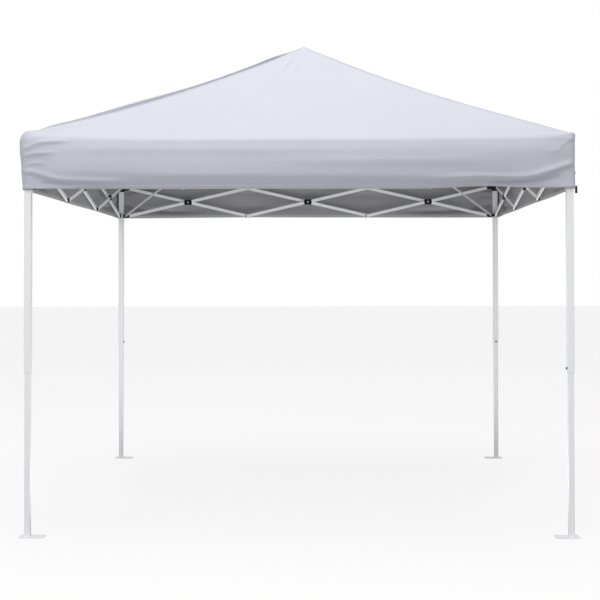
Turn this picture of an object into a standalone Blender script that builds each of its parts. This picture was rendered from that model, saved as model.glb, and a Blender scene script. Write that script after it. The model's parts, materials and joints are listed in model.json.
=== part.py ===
"""Pop up canopy: a folding steel frame of scissor trusses under one fabric cover.

Metres, +Z up, origin on the ground under the middle of the shelter, front towards -Y.
The frame repeats every quarter turn about Z. Corner 0 is front left and side 0 is the front,
which runs from corner 0 to corner 1 along +X. Corners and sides then go round anticlockwise
as seen from above. Each side is a scissor truss of CELLS cells. In a cell one bar goes down and
one climbs; all the bars that go down lie on the inner side of the leg line, those that climb
on the outer side, and rivets on the former pass through the latter.
"""
import math

import bmesh
import bpy
from mathutils import Matrix, Vector

for old in list(bpy.data.objects):
    bpy.data.objects.remove(old, do_unlink=True)

# ---- driving dimensions ----
LEG_SPACING = 2.948      # between the centres of two legs of one side
CELLS = 3                # scissor cells on a side
TRUSS_TOP = 2.121        # height of the upper truss pivots
TRUSS_HEIGHT = 0.218     # between the upper and the lower pivots
PIVOT_OFFSET = 0.055     # leg centre to the first truss pivot
FOLD_DEG = 72.5          # turn of a truss bar between open and folded

LEG_SIDE = 0.038         # upper leg tube
LEG_WALL = 0.0010
LEG_BOTTOM = 0.892
LEG_TOP = 2.146
LOWER_SIDE = 0.032       # lower leg tube, which slides in the upper one
LOWER_WALL = 0.0010
LOWER_OVERLAP = 0.190    # length of lower leg inside the upper one when it is drawn out
CORNER_RADIUS = 0.004    # of both leg tubes
BUSH_LENGTH = 0.040      # nylon bush in the upper leg's mouth, and guide on the lower leg's top
BUSH_SLACK = 0.0004      # between a bush or guide and the tube that slides on it
BUSH_STEP = 0.0010       # a bush sits this far inside its tube's end
PLATE_LENGTH = 0.132     # foot plate, along X
PLATE_WIDTH = 0.080
PLATE_THICKNESS = 0.004
PLATE_OUTBOARD = 0.042   # leg centre to the plate's outer end
STAKE_HOLE = 0.0045      # radius of the holes for ground stakes

BAR_HEIGHT = 0.022       # truss bar tube
BAR_THICKNESS = 0.011
BAR_WALL = 0.0008
BAR_END = 0.012          # tube past its end pivot
SLEEVE_LENGTH = 0.058    # moulded sleeve at the middle of a bar
SLEEVE_HEIGHT = 0.034
SLEEVE_WALL = 0.0025
RIVET_RADIUS = 0.0030
RIVET_HEAD = 0.0055
RIVET_HEAD_THICKNESS = 0.0016
HOLE_SLACK = 0.0006      # rivet hole radius over the rivet's
RIVET_STEPS = 6

COLLAR_WALL = 0.0036     # moulded collars of the top brackets and the sliders
COLLAR_SLACK = 0.0004    # between a collar's bore and the leg
BRACKET_SKIRT = 0.052    # bracket below the leg's top
BRACKET_CROWN = 0.018    # bracket above the leg's top
SLIDER_HEIGHT = 0.044
SLIDER_BELOW = 0.018     # slider below its truss pivots
EAR_THICKNESS = 0.0035
EAR_RADIUS = 0.0125
EAR_STEPS = 4

RAFTER_HEIGHT = 0.020    # rafter tube
RAFTER_PIVOT = 2.151     # height of the outer rafter's pivot on the top bracket
RAFTER_OFFSET = 0.0475   # leg centre to that pivot, along the diagonal
KNEE_DROP = 0.0668       # knee below that pivot
KNEE_SHARE = 0.3674      # outer rafter's share of the way from bracket to hub
STRUT_WIDTH = 0.014
STRUT_THICKNESS = 0.0055

MAST_RADIUS = 0.0125
MAST_WALL = 0.0012
MAST_TRAVEL = 0.380      # drop of the mast through the hub as the frame folds
MAST_BELOW_HUB = 0.030
HUB_WALL = 0.0026
HUB_HEIGHT = 0.046
HUB_EAR = 0.0100         # radius of its ears
HUB_EAR_ROOT = 0.0105    # from its axis
CAP_RADIUS = 0.040       # domed cap on the mast
CAP_HEIGHT = 0.026
CAP_RIM = 0.005

PIN_RADIUS = 0.0035      # pull pin that locks the lower leg
PIN_STEPS = 8
PIN_HEIGHT = 0.020       # pin above the upper leg's lower end
KNOB_RADIUS = 0.0060
KNOB_LENGTH = 0.0060

PEAK = 2.955             # outer top of the cover
HEM = 1.892
COVER_THICKNESS = 0.0005
EAVE_CORNER = 2.1950     # outer height of the cover over a leg
EAVE_SAG = 0.030         # eave's dip at the middle of a side
EAVE_RADIUS = 0.030      # soft turn from roof to valance
RIDGE_SAG = 0.045        # dip of a ridge below the straight line from corner to peak
PANEL_SAG = 0.020        # dip of a roof panel between its ridges
ROOF_STEPS = 16          # cells of the roof grid along a side
VALANCE_ROWS = 2

STRAP_WIDTH = 0.012      # webbing tab sewn to the hem beside the front right leg
STRAP_LENGTH = 0.040
STRAP_THICKNESS = 0.0015
STRAP_SEAM = 0.010       # part of it that lies on the hem

CLEARANCE = 0.0003       # between pieces that seat on one another

# ---- sizes that follow ----
HALF = LEG_SPACING / 2
CELL = (LEG_SPACING - 2 * PIVOT_OFFSET) / CELLS
BAR_LENGTH = math.hypot(CELL, TRUSS_HEIGHT)
BAR_ANGLE = math.atan2(TRUSS_HEIGHT, CELL)
TRUSS_BOTTOM = TRUSS_TOP - TRUSS_HEIGHT
FOLD = math.radians(FOLD_DEG)
LAYER = CLEARANCE / 2    # leg line to the near face of a bar
COLLAR_HALF = LEG_SIDE / 2 + COLLAR_SLACK + COLLAR_WALL

# The rafters keep meeting at the hub while the truss folds when their horizontal reach stays a
# fixed multiple of a truss bar's, so the hub's ear takes what the diagonal pivot offset leaves.
DIAGONAL = CELLS * BAR_LENGTH / math.sqrt(2)
REACH = DIAGONAL * math.cos(BAR_ANGLE)
HUB_OFFSET = math.sqrt(2) * PIVOT_OFFSET - RAFTER_OFFSET
OUTER_REACH = REACH * KNEE_SHARE
INNER_REACH = REACH - OUTER_REACH
INNER_RISE = DIAGONAL * math.sin(BAR_ANGLE) - KNEE_DROP
OUTER_LENGTH = math.hypot(OUTER_REACH, KNEE_DROP)
INNER_LENGTH = math.hypot(INNER_REACH, INNER_RISE)
OUTER_ANGLE = -math.atan2(KNEE_DROP, OUTER_REACH)
INNER_ANGLE = math.atan2(INNER_RISE, INNER_REACH)
KNEE_HEIGHT = RAFTER_PIVOT - KNEE_DROP
HUB_PIVOT = KNEE_HEIGHT + INNER_RISE

# The strut has one length open and folded, which fixes where it meets the outer rafter.
OPEN_DROP = RAFTER_PIVOT - TRUSS_BOTTOM
FOLDED_DROP = RAFTER_PIVOT - TRUSS_TOP + BAR_LENGTH * math.sin(BAR_ANGLE + FOLD)
STRUT_REACH = (FOLDED_DROP**2 - OPEN_DROP**2) / (
    2 * (OPEN_DROP * math.sin(OUTER_ANGLE) + FOLDED_DROP * math.sin(FOLD - OUTER_ANGLE))
)
STRUT_SPAN = STRUT_REACH * math.cos(OUTER_ANGLE)
STRUT_RISE = STRUT_REACH * math.sin(OUTER_ANGLE) + OPEN_DROP
STRUT_LENGTH = math.hypot(STRUT_SPAN, STRUT_RISE)
STRUT_ANGLE = math.atan2(STRUT_RISE, STRUT_SPAN)

# Across the diagonal plane: inner rafter in the middle, the outer rafter beside it.
RAFTER_LAYER = BAR_THICKNESS / 2 + CLEARANCE
COVER_HALF = HALF + COLLAR_HALF + CLEARANCE + COVER_THICKNESS   # middle to the valance's outer face
ROOF_FLAT = COVER_HALF - 0.4 * EAVE_RADIUS   # half width of the roof inside its soft edge
ROOF_CELL = 2 * ROOF_FLAT / ROOF_STEPS

CORNERS = ("front_left", "front_right", "rear_right", "rear_left")
SIDES = ("front", "right", "rear", "left")

collection = bpy.data.collections.new("pop_up_canopy")
bpy.context.scene.collection.children.link(collection)


# ---- materials ----
def material(name, colour, roughness, metallic=0.0):
    made = bpy.data.materials.new(name)
    made.use_nodes = True
    shader = made.node_tree.nodes["Principled BSDF"]
    shader.inputs["Base Color"].default_value = (*colour, 1.0)
    shader.inputs["Roughness"].default_value = roughness
    shader.inputs["Metallic"].default_value = metallic
    return made


# ---- modelling helpers ----
def temporary(mesh, matrix=Matrix()):
    """An object that holds a mesh while it is joined or cut."""
    made = bpy.data.objects.new("temporary", mesh)
    made.matrix_world = matrix
    collection.objects.link(made)
    return made


def baked(source):
    """The mesh of an object with its curve or modifiers worked out, in world space."""
    bpy.context.view_layer.update()
    view = source.evaluated_get(bpy.context.evaluated_depsgraph_get())
    mesh = bpy.data.meshes.new_from_object(view)
    mesh.transform(source.matrix_world)
    bpy.data.objects.remove(source, do_unlink=True)
    return mesh


def combined(body, others, operation):
    """A mesh joined with, or cut by, each of the other meshes in turn."""
    target = temporary(body)
    helpers = []
    for other in others:
        helper = temporary(other)
        boolean = target.modifiers.new("boolean", "BOOLEAN")
        boolean.operation = operation
        boolean.solver = "EXACT"
        boolean.object = helper
        helpers.append(helper)
    mesh = baked(target)
    for helper in helpers:
        bpy.data.objects.remove(helper, do_unlink=True)
    return mesh


def joined(body, *others):
    return combined(body, others, "UNION")


def cut(body, *others):
    return combined(body, others, "DIFFERENCE")


def moved(mesh, matrix):
    copy = mesh.copy()
    copy.transform(matrix)
    return copy


def weld(mesh):
    cells = bmesh.new()
    cells.from_mesh(mesh)
    bmesh.ops.remove_doubles(cells, verts=cells.verts, dist=1e-6)
    bmesh.ops.recalc_face_normals(cells, faces=cells.faces)
    cells.to_mesh(mesh)
    cells.free()
    return mesh


def extruded(outlines, depth):
    """A flat shape in XY with the given outlines, extruded from z = 0 to depth. Inner ones are holes."""
    curve = bpy.data.curves.new("outline", "CURVE")
    curve.dimensions = "2D"
    curve.fill_mode = "BOTH"
    curve.extrude = depth / 2
    for outline in outlines:
        spline = curve.splines.new("POLY")
        spline.points.add(len(outline) - 1)
        for point, (x, y) in zip(spline.points, outline):
            point.co = (x, y, 0, 1)
        spline.use_cyclic_u = True
    made = bpy.data.objects.new("outline", curve)
    made.location.z = depth / 2
    collection.objects.link(made)
    return weld(baked(made))


def rounded_rectangle(width, height, radius, steps, centre=(0, 0)):
    """Outline of a rectangle whose corners are arcs of the given number of steps."""
    points = []
    for quarter, (sx, sy) in enumerate(((1, 1), (-1, 1), (-1, -1), (1, -1))):
        for step in range(steps + 1):
            angle = math.pi / 2 * (quarter + step / steps)
            points.append((
                centre[0] + sx * (width / 2 - radius) + radius * math.cos(angle),
                centre[1] + sy * (height / 2 - radius) + radius * math.sin(angle),
            ))
    return points


def circle(radius, steps, centre=(0, 0)):
    return [
        (centre[0] + radius * math.cos(2 * math.pi * step / steps),
         centre[1] + radius * math.sin(2 * math.pi * step / steps))
        for step in range(steps)
    ]


def rectangle(width, height, centre=(0, 0)):
    x, y = width / 2, height / 2
    return [(centre[0] + sx * x, centre[1] + sy * y) for sx, sy in ((1, 1), (-1, 1), (-1, -1), (1, -1))]


def box(low, high):
    """A box between two corners."""
    (x0, y0, z0), (x1, y1, z1) = low, high
    flat = extruded([rectangle(x1 - x0, y1 - y0, ((x0 + x1) / 2, (y0 + y1) / 2))], z1 - z0)
    return moved(flat, Matrix.Translation((0, 0, z0)))


def rod(radius, start, end, steps):
    """A round rod between two points."""
    axis = Vector(end) - Vector(start)
    turn = axis.to_track_quat("Z", "Y").to_matrix().to_4x4()
    return moved(extruded([circle(radius, steps)], axis.length), Matrix.Translation(start) @ turn)


def turned(profile, steps):
    """A solid of revolution about Z from (radius, height) points that start and end on the axis."""
    mesh = bpy.data.meshes.new("profile")
    mesh.from_pydata([(r, 0, z) for r, z in profile], [(i, i + 1) for i in range(len(profile) - 1)], [])
    made = temporary(mesh)
    screw = made.modifiers.new("screw", "SCREW")
    screw.steps = steps
    screw.render_steps = steps
    screw.use_merge_vertices = True
    screw.merge_threshold = 0.00001
    return weld(baked(made))


UPRIGHT = Matrix.Rotation(math.pi / 2, 4, "X")   # turns a flat shape in XY to stand in XZ


def upright(outlines, near, far):
    """A flat shape drawn in XZ that fills y from near to far."""
    return moved(extruded(outlines, far - near), Matrix.Translation((0, far, 0)) @ UPRIGHT)


def rivet(x, z, near, far):
    """A rivet along Y with one head beyond near; its other end is set flush in the piece, just short of far."""
    head = near - RIVET_HEAD_THICKNESS
    profile = [(0, head), (RIVET_HEAD, head), (RIVET_HEAD, near), (RIVET_RADIUS, near), (RIVET_RADIUS, far), (0, far)]
    lay = Matrix.Translation((x, 0, z)) @ Matrix.Rotation(-math.pi / 2, 4, "X")
    return moved(turned(profile, RIVET_STEPS), lay)


def rivet_hole(x, z, near, far):
    return rod(RIVET_RADIUS + HOLE_SLACK, (x, near, z), (x, far, z), RIVET_STEPS)


# ---- placing ----
def quarter_turn(count):
    return Matrix.Rotation(count * math.pi / 2, 4, "Z")


def place(name, mesh, matrix, pivot, finish):
    """Add a finished piece: its mesh placed by matrix, its origin at pivot, a point in the world."""
    turn = matrix.to_quaternion().to_matrix().to_4x4()
    frame = Matrix.Translation(pivot) @ turn
    data = moved(mesh, frame.inverted() @ matrix)
    data.name = name
    data.materials.clear()
    data.materials.append(finish)
    data.shade_smooth()
    data.set_sharp_from_angle(angle=math.radians(30))
    made = bpy.data.objects.new(name, data)
    made.matrix_world = frame
    collection.objects.link(made)
    return made


# ---- legs ----
def square_tube(profile):
    """A square tube with rounded corners, from a closed profile of (half of its side, height) points.

    The profile runs up the outside and down the inside, as a turned piece's would.
    """
    cells = bmesh.new()
    loops = []
    for half, height in profile:
        radius = CORNER_RADIUS - (LEG_SIDE / 2 - half if half > LOWER_SIDE / 2 else LOWER_SIDE / 2 - half)
        outline = rounded_rectangle(2 * half, 2 * half, max(radius, CORNER_RADIUS / 2), 2)
        loops.append([cells.verts.new((x, y, height)) for x, y in outline])
    for lower, upper in zip(loops, loops[1:] + loops[:1]):
        for i in range(len(lower)):
            k = (i + 1) % len(lower)
            cells.faces.new((lower[i], lower[k], upper[k], upper[i]))
    bmesh.ops.recalc_face_normals(cells, faces=cells.faces)
    mesh = bpy.data.meshes.new("square_tube")
    cells.to_mesh(mesh)
    cells.free()
    return mesh


def upper_leg():
    """Square tube with a bush in its mouth and the hole for its pull pin in the face towards +Y."""
    outside = LEG_SIDE / 2
    inside = outside - LEG_WALL
    bore = LOWER_SIDE / 2 + BUSH_SLACK
    bush_bottom = LEG_BOTTOM + BUSH_STEP
    bush_top = bush_bottom + BUSH_LENGTH
    tube = square_tube([
        (outside, LEG_BOTTOM), (outside, LEG_TOP), (inside, LEG_TOP), (inside, bush_top),
        (bore, bush_top), (bore, bush_bottom), (inside, bush_bottom), (inside, LEG_BOTTOM),
    ])
    z = LEG_BOTTOM + PIN_HEIGHT
    return cut(tube, rod(PIN_RADIUS + CLEARANCE, (0, LOWER_SIDE / 2, z), (0, LEG_SIDE, z), PIN_STEPS))


def lower_leg(inboard):
    """Square tube with a guide on its top, welded to a foot plate whose long end points inboard, +1 or -1."""
    plate_centre = inboard * (PLATE_LENGTH / 2 - PLATE_OUTBOARD)
    plate_outline = rounded_rectangle(PLATE_LENGTH, PLATE_WIDTH, 0.008, 2, (plate_centre, 0))
    far_end = inboard * (PLATE_LENGTH - PLATE_OUTBOARD)
    holes = [
        circle(STAKE_HOLE, 8, (far_end - inboard * 4 * STAKE_HOLE, side * PLATE_WIDTH / 4))
        for side in (-1, 1)
    ]
    plate = extruded([plate_outline, *holes], PLATE_THICKNESS)
    outside = LOWER_SIDE / 2
    inside = outside - LOWER_WALL
    guide = LEG_SIDE / 2 - LEG_WALL - BUSH_SLACK
    bottom = PLATE_THICKNESS / 2
    top = LEG_BOTTOM + LOWER_OVERLAP
    guide_top = top - BUSH_STEP
    guide_bottom = guide_top - BUSH_LENGTH
    tube = square_tube([
        (outside, bottom), (outside, guide_bottom), (guide, guide_bottom), (guide, guide_top),
        (outside, guide_top), (outside, top), (inside, top), (inside, bottom),
    ])
    return joined(plate, tube)


def pull_pin():
    """Plunger and knob, pointing to +Y from the lower leg's face; drawn outwards it frees the leg."""
    z = LEG_BOTTOM + PIN_HEIGHT
    face = LEG_SIDE / 2 + CLEARANCE
    plunger = rod(PIN_RADIUS, (0, LOWER_SIDE / 2 + CLEARANCE, z), (0, face + KNOB_LENGTH / 2, z), PIN_STEPS)
    knob = rod(KNOB_RADIUS, (0, face, z), (0, face + KNOB_LENGTH, z), 12)
    return joined(plunger, knob)


# ---- moulded collars on the legs ----
def ear_outline(root, reach, height, radius):
    """Outline in XZ of an ear that starts at x = root and ends in a half round about (reach, height)."""
    arc = [
        (reach + radius * math.cos(angle), height + radius * math.sin(angle))
        for angle in (math.pi * (step / EAR_STEPS - 0.5) for step in range(EAR_STEPS + 1))
    ]
    return [(root, height - radius), *arc, (root, height + radius)]


def ears(height, reach, near, far, root, radius=EAR_RADIUS):
    """Two ears along +X with a pin between them; the member in the fork fills y from near to far."""
    outline = ear_outline(root, reach, height, radius)
    gap = CLEARANCE
    plates = [
        upright([outline], near - gap - EAR_THICKNESS, near - gap),
        upright([outline], far + gap, far + gap + EAR_THICKNESS),
    ]
    inset = gap + EAR_THICKNESS / 2
    return [*plates, rod(RIVET_RADIUS, (reach, near - inset, height), (reach, far + inset, height), RIVET_STEPS)]


def side_ears(height, climbing_start):
    """The forks of a collar for the side that starts at its leg, along +X, and the one that ends there.

    climbing_start says that the starting side's climbing bar ends in this collar, and the ending
    side's falling bar; otherwise it is the other way round.
    """
    falling = (LAYER, LAYER + BAR_THICKNESS)
    climbing = (-LAYER - BAR_THICKNESS, -LAYER)
    root = LEG_SIDE / 2 + COLLAR_SLACK + COLLAR_WALL / 2
    start = ears(height, PIVOT_OFFSET, *(climbing if climbing_start else falling), root)
    near, far = falling if climbing_start else climbing
    # the ending side runs along +Y from this leg, with its inward direction along +X
    end = [moved(piece, quarter_turn(1)) for piece in ears(height, PIVOT_OFFSET, -far, -near, root)]
    return start + end


def diagonal_ears(height, near, far):
    """The fork on the inner corner of a collar, in the diagonal plane."""
    root = math.sqrt(2) * (LEG_SIDE / 2 + COLLAR_SLACK) + COLLAR_WALL / 2 - 0.004
    pieces = ears(height, RAFTER_OFFSET, near, far, root, 0.010)
    return [moved(piece, Matrix.Rotation(math.pi / 4, 4, "Z")) for piece in pieces]


def collar(bottom, top, bore_top):
    """Square sleeve round the leg from bottom to top, bored up to bore_top."""
    outer = rounded_rectangle(2 * COLLAR_HALF, 2 * COLLAR_HALF, CORNER_RADIUS + COLLAR_WALL / 2, 2)
    bore = rounded_rectangle(
        LEG_SIDE + 2 * COLLAR_SLACK, LEG_SIDE + 2 * COLLAR_SLACK, CORNER_RADIUS, 2
    )
    block = moved(extruded([outer], top - bottom), Matrix.Translation((0, 0, bottom)))
    start = bottom - 0.01
    hole = moved(extruded([bore], bore_top - start), Matrix.Translation((0, 0, start)))
    return block, hole


def top_bracket():
    """Cap over the leg's top with forks for two trusses and the outer rafter."""
    block, hole = collar(LEG_TOP - BRACKET_SKIRT, LEG_TOP + BRACKET_CROWN, LEG_TOP + CLEARANCE)
    pieces = side_ears(TRUSS_TOP, climbing_start=False)
    pieces += diagonal_ears(RAFTER_PIVOT, RAFTER_LAYER, RAFTER_LAYER + BAR_THICKNESS)
    return cut(joined(block, *pieces), hole)


def slider():
    """Collar that runs on the leg, with forks for two trusses and the strut."""
    bottom = TRUSS_BOTTOM - SLIDER_BELOW
    top = bottom + SLIDER_HEIGHT
    block, hole = collar(bottom, top, top + 0.01)
    pieces = side_ears(TRUSS_BOTTOM, climbing_start=True)
    pieces += diagonal_ears(TRUSS_BOTTOM, RAFTER_LAYER - CLEARANCE - STRUT_THICKNESS, RAFTER_LAYER - CLEARANCE)
    return cut(joined(block, *pieces), hole)


# ---- truss bars ----
def bar_tube(length, height, ends):
    """Rectangular tube along X, centred on x = 0 and filling y from 0 to BAR_THICKNESS, open at its ends."""
    outer = rectangle(height, BAR_THICKNESS)
    inner = rectangle(height - 2 * BAR_WALL, BAR_THICKNESS - 2 * BAR_WALL)
    tube = extruded([outer, inner], length + 2 * ends)
    lay = Matrix.Translation((-length / 2 - ends, BAR_THICKNESS / 2, 0)) @ Matrix.Rotation(math.pi / 2, 4, "Y")
    return moved(tube, lay)


def bar_with_sleeve():
    """A truss bar's tube with the moulded sleeve round its middle, all but flush with it at y = 0."""
    tube = bar_tube(BAR_LENGTH, BAR_HEIGHT, BAR_END)
    outline = rounded_rectangle(SLEEVE_LENGTH, SLEEVE_HEIGHT, 0.004, 1)
    sleeve = upright([outline], CLEARANCE, BAR_THICKNESS + SLEEVE_WALL)
    bore = box(
        (-SLEEVE_LENGTH, BAR_WALL / 2, -BAR_HEIGHT / 2 + BAR_WALL / 2),
        (SLEEVE_LENGTH, BAR_THICKNESS - BAR_WALL / 2, BAR_HEIGHT / 2 - BAR_WALL / 2),
    )
    return joined(tube, cut(sleeve, bore))


def falling_bar(holes):
    """Bar of the inner layer. Rivets stand at its pivots, except at the given ends, which have holes.

    holes lists -1 for the end at the start of the side and 1 for the other.
    """
    mesh = bar_with_sleeve()
    opposite = -2 * LAYER - BAR_THICKNESS
    rivets = [rivet(0, 0, opposite - SLEEVE_WALL - CLEARANCE, BAR_THICKNESS + SLEEVE_WALL / 2)]
    cutters = []
    for end in (-1, 1):
        x = end * BAR_LENGTH / 2
        if end in holes:
            cutters.append(rivet_hole(x, 0, -BAR_THICKNESS, 2 * BAR_THICKNESS))
        else:
            rivets.append(rivet(x, 0, opposite - CLEARANCE, BAR_THICKNESS - BAR_WALL / 2))
    mesh = joined(mesh, *rivets)
    return moved(cut(mesh, *cutters), Matrix.Translation((0, LAYER, 0)))


def climbing_bar():
    """Bar of the outer layer, with a hole at each of its three pivots."""
    cutters = [
        rivet_hole(x, 0, -BAR_THICKNESS, 2 * BAR_THICKNESS)
        for x in (-BAR_LENGTH / 2, 0, BAR_LENGTH / 2)
    ]
    flipped = Matrix.Translation((0, -LAYER, 0)) @ Matrix.Rotation(math.pi, 4, "Z")
    return moved(cut(bar_with_sleeve(), *cutters), flipped)


# ---- rafters, hub and mast, drawn in the plane of a diagonal: x outwards from the leg to the hub ----
def outer_rafter():
    """Tube from bracket to knee beside the inner rafter, with the knee's rivet and the strut's."""
    tube = moved(bar_tube(OUTER_LENGTH, RAFTER_HEIGHT, 0.010), Matrix.Translation((OUTER_LENGTH / 2, RAFTER_LAYER, 0)))
    far = RAFTER_LAYER + BAR_THICKNESS
    knee = rivet(OUTER_LENGTH, 0, -RAFTER_LAYER, far - BAR_WALL / 2)
    strut_rivet = rod(
        RIVET_HEAD, (STRUT_REACH, far - BAR_WALL / 2, 0), (STRUT_REACH, far + RIVET_HEAD_THICKNESS, 0), RIVET_STEPS
    )
    mesh = joined(tube, knee, strut_rivet)
    return cut(mesh, rivet_hole(0, 0, 0, 2 * far))


def inner_rafter():
    """Tube from knee to hub with a hole at each end."""
    tube = moved(
        bar_tube(INNER_LENGTH, RAFTER_HEIGHT, 0.008),
        Matrix.Translation((INNER_LENGTH / 2, -BAR_THICKNESS / 2, 0)),
    )
    return cut(tube, *[rivet_hole(x, 0, -BAR_THICKNESS, BAR_THICKNESS) for x in (0, INNER_LENGTH)])


def strut():
    """Flat bar from slider to outer rafter with round ends; its lower end has a hole."""
    far = RAFTER_LAYER - CLEARANCE
    near = far - STRUT_THICKNESS
    radius = STRUT_WIDTH / 2
    arc = [math.pi * (step / EAR_STEPS - 0.5) for step in range(EAR_STEPS + 1)]
    outline = [(STRUT_LENGTH + radius * math.cos(a), radius * math.sin(a)) for a in arc]
    outline += [(-radius * math.cos(a), -radius * math.sin(a)) for a in arc]
    bar = upright([outline], near, far)
    head = rod(
        RIVET_HEAD, (STRUT_LENGTH, near - RIVET_HEAD_THICKNESS, 0), (STRUT_LENGTH, near + CLEARANCE, 0), RIVET_STEPS
    )
    return cut(joined(bar, head), rivet_hole(0, 0, 2 * near - far, 2 * far))


def hub():
    """Sleeve for the mast with four forks, centred on its pivots' height."""
    sleeve_radius = MAST_RADIUS + CLEARANCE + HUB_WALL
    block = moved(extruded([circle(sleeve_radius, 16)], HUB_HEIGHT), Matrix.Translation((0, 0, -HUB_HEIGHT / 2)))
    half = BAR_THICKNESS / 2
    pieces = []
    for quarter in range(4):
        turn = Matrix.Rotation(math.pi / 4 + quarter * math.pi / 2, 4, "Z")
        pieces += [
            moved(piece, turn) for piece in ears(0, HUB_OFFSET, -half, half, HUB_EAR_ROOT, HUB_EAR)
        ]
    bore = moved(extruded([circle(MAST_RADIUS + 2 * CLEARANCE, 16)], 2 * HUB_HEIGHT), Matrix.Translation((0, 0, -HUB_HEIGHT)))
    return cut(joined(block, *pieces), bore)


def cap_top(dome):
    """Height at which a cap whose dome has the given height just touches the pitched cover above it."""
    pitch = (PEAK - roof_height(ROOF_CELL, 0)) / ROOF_CELL
    tent = math.hypot(dome, pitch * CAP_RADIUS) - dome
    return PEAK - tent - (COVER_THICKNESS + CLEARANCE) * math.hypot(1, pitch)


def mast():
    """Tube that runs through the hub, open below, with the domed cap that carries the cover's peak."""
    dome = CAP_HEIGHT - CAP_RIM
    top = cap_top(dome)
    steps = 4
    profile = [(0, top)]
    for step in range(1, steps + 1):
        angle = math.pi / 2 * (1 - step / steps)
        profile.append((CAP_RADIUS * math.cos(angle), top - dome + dome * math.sin(angle)))
    profile += [(CAP_RADIUS, top - CAP_HEIGHT), (0, top - CAP_HEIGHT)]
    cap = turned(profile, 20)
    bottom = HUB_PIVOT - HUB_HEIGHT / 2 - MAST_BELOW_HUB
    tube = extruded(
        [circle(MAST_RADIUS, 16), circle(MAST_RADIUS - MAST_WALL, 16)], top - CAP_HEIGHT / 2 - bottom
    )
    return joined(cap, moved(tube, Matrix.Translation((0, 0, bottom))))


# ---- cover ----
def roof_height(x, y):
    """Outer height of the roof: a pyramid with hollow ridges and panels and a soft edge.

    d is the distance from the peak as a share of the half width, by the larger of |x| and |y|, and
    s runs from 0 in the middle of a panel to 1 on a ridge.
    """
    larger = max(abs(x), abs(y))
    smaller = min(abs(x), abs(y))
    d = larger / COVER_HALF
    s = smaller / larger if larger else 1.0
    eave = EAVE_CORNER - EAVE_SAG * (1 - s * s)
    line = PEAK + (eave - PEAK) * d
    sag = (RIDGE_SAG + PANEL_SAG * (1 - s * s)) * 4 * d * (1 - d)
    return line - sag


def cover():
    """Roof and valance as one open surface, thickened inwards."""
    cells = bmesh.new()
    flat = ROOF_FLAT
    grid = [flat - ROOF_CELL * i for i in range(ROOF_STEPS, -1, -1)]
    rows = [[cells.verts.new((x, y, roof_height(x, y))) for x in grid] for y in grid]
    for lower, upper in zip(rows, rows[1:]):
        for i in range(ROOF_STEPS):
            loop = [lower[i], lower[i + 1], upper[i + 1], upper[i]]
            outwards = (loop[0].co.x + loop[1].co.x) * (loop[0].co.y + loop[2].co.y) > 0
            if not outwards:
                loop = loop[1:] + loop[:1]
            # each cell is split along the line that runs out from the peak
            cells.faces.new(loop[:3])
            cells.faces.new((loop[0], loop[2], loop[3]))
    rim = rows[0][:-1] + [row[-1] for row in rows[:-1]] + rows[-1][:0:-1] + [row[0] for row in rows[:0:-1]]
    ring = rim
    for row in range(VALANCE_ROWS + 1):
        below = []
        for vertex in rim:
            x, y, top = vertex.co
            start = top - EAVE_RADIUS
            z = start + (HEM - start) * row / VALANCE_ROWS
            outward = [math.copysign(COVER_HALF, c) if math.isclose(abs(c), flat, rel_tol=1e-6) else c for c in (x, y)]
            below.append(cells.verts.new((*outward, z)))
        for i in range(len(ring)):
            j = (i + 1) % len(ring)
            cells.faces.new((ring[i], below[i], below[j], ring[j]))
        ring = below
    bmesh.ops.recalc_face_normals(cells, faces=cells.faces)
    mesh = bpy.data.meshes.new("cover")
    cells.to_mesh(mesh)
    cells.free()
    made = temporary(mesh)
    solidify = made.modifiers.new("solidify", "SOLIDIFY")
    solidify.thickness = COVER_THICKNESS
    solidify.offset = -1
    return baked(made)


def strap():
    """Short webbing tab sewn outside the hem at the front right corner, hanging below it."""
    near = COVER_HALF + CLEARANCE
    top = HEM + STRAP_SEAM
    return box(
        (near, -HALF - STRAP_WIDTH / 2, top - STRAP_LENGTH),
        (near + STRAP_THICKNESS, -HALF + STRAP_WIDTH / 2, top),
    )


# ---- assembly ----
def corner_point(x, y, z):
    """World point of something at (x, y, z) from the centre of the front left leg's foot."""
    return Vector((x - HALF, y - HALF, z))


def place_corner_piece(kind, mesh, pivots, finish):
    """A copy of the same piece at each corner, turned a quarter each time. pivots are from the leg."""
    for corner, name in enumerate(CORNERS):
        turn = quarter_turn(corner)
        matrix = turn @ Matrix.Translation(corner_point(0, 0, 0))
        place(f"{kind}_{name}", mesh, matrix, turn @ corner_point(*pivots[corner]), finish)


def pivots_at(height, ends):
    """The truss pivot that each corner's piece turns on: where its side ends for the named corners, or starts."""
    return [
        (0, PIVOT_OFFSET, height) if name in ends else (PIVOT_OFFSET, 0, height)
        for name in CORNERS
    ]


def place_diagonal_piece(kind, mesh, reach, height, angle, finish):
    """A member of each diagonal plane, its local origin at the given reach from the leg, tilted up by angle."""
    for corner, name in enumerate(CORNERS):
        turn = quarter_turn(corner) @ Matrix.Translation(corner_point(0, 0, 0)) @ Matrix.Rotation(math.pi / 4, 4, "Z")
        pivot = Matrix.Translation((reach, 0, height))
        matrix = turn @ pivot @ Matrix.Rotation(-angle, 4, "Y")
        place(f"{kind}_{name}", mesh, matrix, matrix.translation, finish)


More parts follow.
